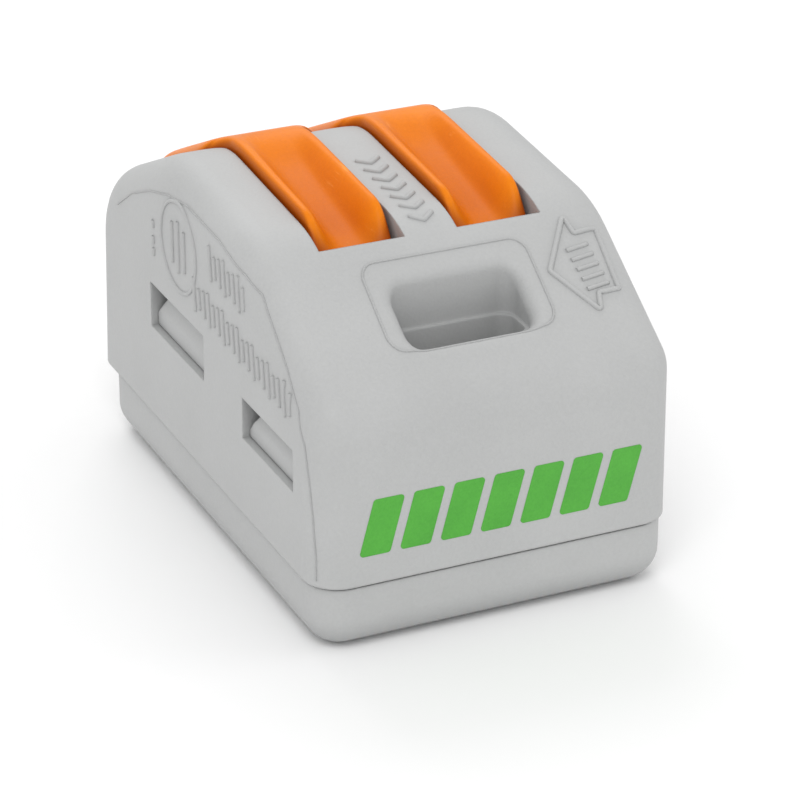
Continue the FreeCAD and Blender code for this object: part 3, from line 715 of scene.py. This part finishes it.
def roof_line(y):
    """Height of the housing's roof: a gentle rise, a round crest, then the back slope."""
    reach = CREST_RADIUS * math.tan((RISING + FALLING) / 2)
    start, end = CREST_Y - reach * math.cos(RISING), CREST_Y + reach * math.cos(FALLING)
    if y <= start:
        return CREST_Z - (CREST_Y - y) * math.tan(RISING)
    if y >= end:
        return CREST_Z - (y - CREST_Y) * math.tan(FALLING)
    middle_y = start + CREST_RADIUS * math.sin(RISING)
    middle_z = roof_line(start) - CREST_RADIUS * math.cos(RISING)
    return middle_z + math.sqrt(CREST_RADIUS ** 2 - (y - middle_y) ** 2)


def head_circle(y):
    """The highest that the lever's end may reach, as it turns inside the slot's round end."""
    ahead = min(y - PIVOT_Y, 0.0)
    return PIVOT_Z + math.sqrt(max(HEAD_RADIUS ** 2 - ahead ** 2, 0.0))


print("roof line at the crest:", round(roof_line(CREST_Y), 3), "mm")

# %% [markdown]
# Four sizes describe the section at a station: half its width, the top of the rails, the floor
# of the groove and the underside.  They pass from one value to another without a kink, and a
# smooth step from 0 to 1 does that.  Each pair of constants named AT and OVER says where such a
# step begins and how far it runs.

# %% The four sizes of a section
RAIL_RISE, RAIL_AT, RAIL_OVER = 0.35, -4.4, 1.35
GROOVE_START, GROOVE_CLIMB, GROOVE_END_AT, GROOVE_END_OVER = 11.33, 0.19, 1.4, 3.0
HALF_WIDTH, FLANGE_HALF, ROOT_Y, ROOT_RADIUS = 1.45, 2.40, 3.25, 0.97
ARM_DEPTH, FLANGE_DEPTH, THIN_AT, THIN_OVER = 1.35, 0.80, 2.6, 1.4
CAM_Y, CAM_Z, CAM_RADIUS, CAM_SPARE = PIVOT_Y - 0.5, PIVOT_Z + 0.3, 1.84, 0.02
TIP_LENGTH, TIP_NARROWS, TIP_DROPS, TIP_LIFTS = 0.8, 0.5, 0.25, 0.1


def blend(t):
    """0 to 1 with level ends."""
    t = min(max(t, 0.0), 1.0)
    return t * t * (3 - 2 * t)


def section_sizes(y):
    """Half width, rail top, groove floor and underside of the lever at a station."""
    roof = roof_line(y)
    floor = min(GROOVE_START + (y - LEVER_LOW.y) * GROOVE_CLIMB, head_circle(y))
    rail = floor + (roof + RAIL_RISE - floor) * blend((y - RAIL_AT) / RAIL_OVER)
    floor += (rail - floor) * blend((y - GROOVE_END_AT) / GROOVE_END_OVER)
    if y < CAM_Y + CAM_RADIUS - CAM_SPARE:
        under = CAM_Z - math.sqrt(max(CAM_RADIUS ** 2 - (y - CAM_Y) ** 2, 0.0))
    else:
        under = roof - ARM_DEPTH + (ARM_DEPTH - FLANGE_DEPTH) * blend((y - THIN_AT) / THIN_OVER)
    half = HALF_WIDTH
    if y > ROOT_Y:
        half = FLANGE_HALF - math.sqrt(max(ROOT_RADIUS ** 2 - (y - ROOT_Y) ** 2, 0.0))
    tip = blend((y - LEVER_HIGH.y + TIP_LENGTH) / TIP_LENGTH)
    rail -= TIP_DROPS * tip
    return half - TIP_NARROWS * tip, rail, min(floor, rail), under + TIP_LIFTS * tip


print("sizes at the pivot:", [round(size, 2) for size in section_sizes(PIVOT_Y)])

# %% [markdown]
# The ring goes round the section: the underside, the outer side, the rail's top, the leaning
# wall of the groove and its floor, and back on the other side.  On the flange the upper corners
# fall away more than on the rails, so that its end is round to the thumb.

# %% The section as a ring
LOWER_CORNER, RAIL_FALL, FLANGE_FALL, FALL_OVER, FALL_INWARD = 0.12, 0.16, 0.45, 0.8, 0.75
RAIL_TOP_HALF, RAIL_LEAST, RAIL_LIP = 1.05, 0.4, 0.06
WALL_LEAN, WALL_DROP = 0.1, 0.3
GROOVE_HALF, FOOT_OUT, FOOT_RISE, FOOT_IN = 0.50, 0.12, 0.12, 0.15


def section_ring(middle, y):
    """The lever's section as a ring of points, from the middle of the underside round."""
    half, rail, floor, under = section_sizes(y)
    depth = rail - floor
    inner = min(RAIL_TOP_HALF, half - RAIL_LEAST)
    fall = RAIL_FALL + FLANGE_FALL * blend((half - HALF_WIDTH) / FALL_OVER)
    right = [(half - LOWER_CORNER, under), (half, under + LOWER_CORNER), (half, rail - fall),
             (half - FALL_INWARD * fall, rail), (inner + RAIL_LIP, rail),
             (inner - WALL_LEAN, rail - depth * WALL_DROP),
             (GROOVE_HALF + FOOT_OUT, floor + depth * FOOT_RISE), (GROOVE_HALF - FOOT_IN, floor)]
    left = [(-x, z) for x, z in reversed(right)]
    ring = [(0.0, under)] + right + [(0.0, floor)] + left
    return [Vector((middle + x, y, z)) for x, z in ring]


print("a ring has", len(section_ring(0.0, PIVOT_Y)), "points")

# %% [markdown]
# The stations stand close together where the shape changes fast: at the head, at the root of
# the flange and at the tip.  bridge_loops joins each ring to the next, and holes_fill closes
# the two ends.

# %% The channel from ring to ring
STATIONS = [-4.49, -4.42, -4.25, -4.0, -3.6, -3.1, -2.6, -2.0, -1.4, -0.95, -0.7, 0.0, 0.8, 1.5,
            2.1, 2.7, 3.1, 3.3, 3.6, 3.85, 4.05, 4.17, 4.21, 4.4, 5.2, 6.5, 7.8, 8.4, 8.8, 9.0, 9.09]


def lever_shape(middle):
    shape = bmesh.new()
    loops = []
    for y in STATIONS:
        verts = [shape.verts.new(point) for point in section_ring(middle, y)]
        loops.append([shape.edges.new((verts[i - 1], verts[i])) for i in range(len(verts))])
    for first, second in zip(loops, loops[1:]):
        bmesh.ops.bridge_loops(shape, edges=first + second)
    bmesh.ops.holes_fill(shape, edges=loops[0] + loops[-1], sides=0)
    bmesh.ops.recalc_face_normals(shape, faces=shape.faces[:])
    return shape


print("stations along a lever:", len(STATIONS))

# %% [markdown]
# The lever turns on its trunnion, a short round peg on each side that sits in the housing.  One
# cylinder through the head makes both pegs, with bevelled rims.

# %% The trunnion
SEAT_HALF, TRUNNION_RADIUS, TRUNNION_BEVEL = 2.05, 1.05, 0.08


def trunnion_shape(middle):
    shape = bmesh.new()
    turn = Matrix.Translation((middle, PIVOT_Y, PIVOT_Z)) @ Matrix.Rotation(math.pi / 2, 4, "Y")
    made = bmesh.ops.create_cone(shape, cap_ends=True, segments=48, radius1=TRUNNION_RADIUS,
                                 radius2=TRUNNION_RADIUS, depth=2 * SEAT_HALF, matrix=turn)
    rims = [e for e in {e for v in made["verts"] for e in v.link_edges}
            if any(len(f.verts) > 4 for f in e.link_faces)]
    bmesh.ops.bevel(shape, geom=rims, offset=TRUNNION_BEVEL, segments=3, profile=0.5,
                    affect="EDGES", material=-1)
    return shape


# %% [markdown]
# Both levers have the same shape, at another place.  The arm takes the place of the plain
# solid, and the trunnion rides on the same body.

# %% Both levers
def lever_piece(name, shape, side):
    """An orange piece from a shape in millimetres, riding on one of the levers."""
    bmesh.ops.scale(shape, vec=(MM, MM, MM), verts=shape.verts[:])
    mesh = bpy.data.meshes.new(name)
    shape.to_mesh(mesh)
    shape.free()
    return add_piece(name, mesh, orange, side + "_lever")


def make_lever(side, middle):
    arm = lever_piece(side + "_lever_arm", lever_shape(middle), side)
    for face in arm.data.polygons:
        face.use_smooth = True
    soft = arm.modifiers.new("soft", "SUBSURF")
    soft.levels = soft.render_levels = 2
    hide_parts(side + "_lever")
    lever_piece(side + "_lever_trunnion", trunnion_shape(middle), side)
    return arm


for side, middle in (("left", -POLE), ("right", POLE)):
    lever = make_lever(side, middle)
    print(lever.name, "has", len(lever.data.polygons), "faces before subdivision")
